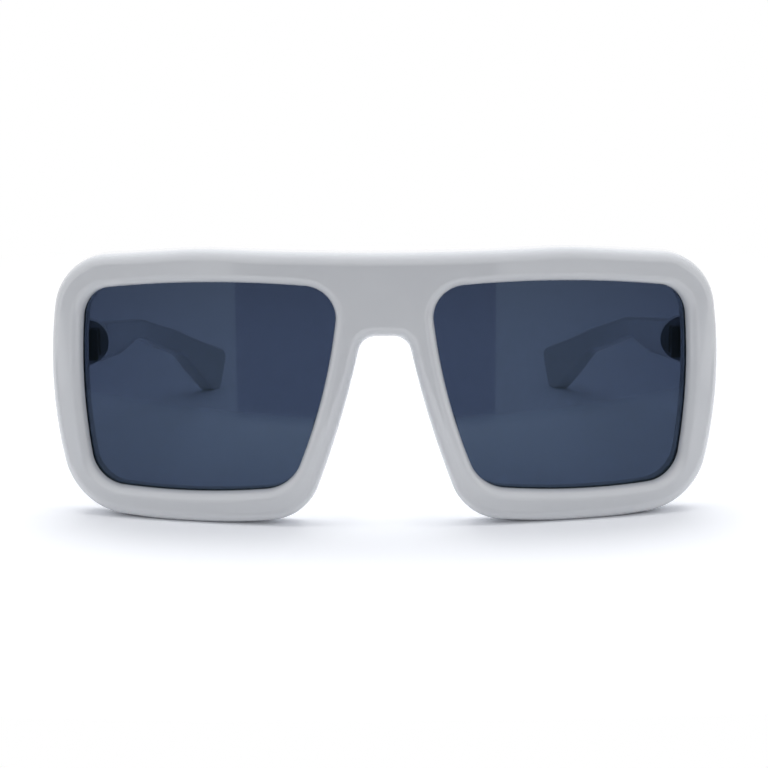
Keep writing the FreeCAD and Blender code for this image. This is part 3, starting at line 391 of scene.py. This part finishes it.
def table_outline(front_y):
    """Corners of the table, which reaches just past where its near edge has faded."""
    outline = [(-FLOOR_HALF_WIDTH, front_y, 0)]
    half_width = FLOOR_FRONT_HALF_WIDTH * max(FLOOR_FRONT_SOFT_SHARES)
    reach = FLOOR_FRONT_REACH * max(FLOOR_FRONT_SOFT_SHARES)
    for step in range(FLOOR_FRONT_STEPS + 1):
        turn = math.pi * step / FLOOR_FRONT_STEPS
        outline.append((-half_width * math.cos(turn), front_y - reach * math.sin(turn), 0))
    outline.append((FLOOR_HALF_WIDTH, front_y, 0))
    outline.append((FLOOR_HALF_WIDTH, FLOOR_BACK_REACH, 0))
    outline.append((-FLOOR_HALF_WIDTH, FLOOR_BACK_REACH, 0))
    return outline


def painted_reflection_sheet(name, front_y, side, material):
    """An upright sheet of painted reflection behind the camera, which only mirror images show."""
    y = front_y - side["back"]
    corners = (
        (-side["left"], y, -side["bottom"]),
        (side["right"], y, -side["bottom"]),
        (side["right"], y, side["top"]),
        (-side["left"], y, side["top"]),
    )
    item = sheet(name, corners, material)
    item.visible_camera = False
    item.visible_diffuse = False
    item.visible_transmission = False
    item.visible_shadow = False


def fill_room():
    """A fill from all round, strongest from above. Directly and in mirrors the room is white."""
    world = bpy.data.worlds.new("room")
    bpy.context.scene.world = world
    world.use_nodes = True
    tree = world.node_tree
    fill = tree.nodes["Background"]
    fill.inputs["Color"].default_value = WHITE
    direction = add_node(tree, "ShaderNodeTexCoord").outputs["Generated"]
    strength = stretch(tree, coordinate(tree, direction, "Z"), STRAIGHT_DOWN_AND_UP, ROOM_FILL)
    tree.links.new(strength, fill.inputs["Strength"])
    white = add_node(tree, "ShaderNodeBackground", {"Color": WHITE, "Strength": 1.0})
    direct = ray_is(tree, "Camera", "Glossy", "Transmission")
    whole = mix_shaders(tree, direct, fill.outputs["Background"], white.outputs["Background"])
    tree.links.new(whole, tree.nodes["World Output"].inputs["Surface"])


def hang_soft_box():
    """A soft box over the table, which mirror images leave out."""
    light = bpy.data.lights.new("soft_box", "AREA")
    light.shape = "RECTANGLE"
    light.size, light.size_y = SOFT_BOX_SIZE
    light.energy = SOFT_BOX_WATTS
    lamp = bpy.data.objects.new("soft_box", light)
    lamp.location = (0, SOFT_BOX_BACK, SOFT_BOX_HEIGHT)
    lamp.visible_glossy = False
    bpy.context.scene.collection.objects.link(lamp)


def build_room(front_y):
    """The table, the painted reflections that the lenses mirror, and the light."""
    sheet("floor", table_outline(front_y), floor_material(front_y))
    # Sheets of painted reflection that only mirror images show: a glowing room and a dark doorway
    painted_reflection_sheet("painted_room_reflection", front_y, ROOM_REFLECTION_SHEET, painted_room_reflection_material())
    painted_reflection_sheet("painted_dark_reflection", front_y, DARK_REFLECTION_SHEET, painted_dark_reflection_material())
    fill_room()
    hang_soft_box()


def aim_camera(front_y):
    """The photograph's camera, in front of the middle of the front and looking a little down."""
    data = bpy.data.cameras.new("camera")
    data.lens = CAMERA_LENS_MM
    data.sensor_width = CAMERA_SENSOR_MM
    camera = bpy.data.objects.new("camera", data)
    tilt = Matrix.Rotation(LEVEL_TURN - CAMERA_PITCH, MATRIX_SIZE, "X")
    roll = Matrix.Rotation(CAMERA_ROLL, MATRIX_SIZE, "Z")
    place = Matrix.Translation((CAMERA_SIDE, front_y - CAMERA_DISTANCE, CAMERA_HEIGHT))
    camera.matrix_world = place @ tilt @ roll
    bpy.context.scene.collection.objects.link(camera)
    bpy.context.scene.camera = camera


def main():
    """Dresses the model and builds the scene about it."""
    bpy.context.scene.view_settings.view_transform = "Standard"
    dress()
    front_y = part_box("front_frame")[0][1]
    build_room(front_y)
    aim_camera(front_y)


main()
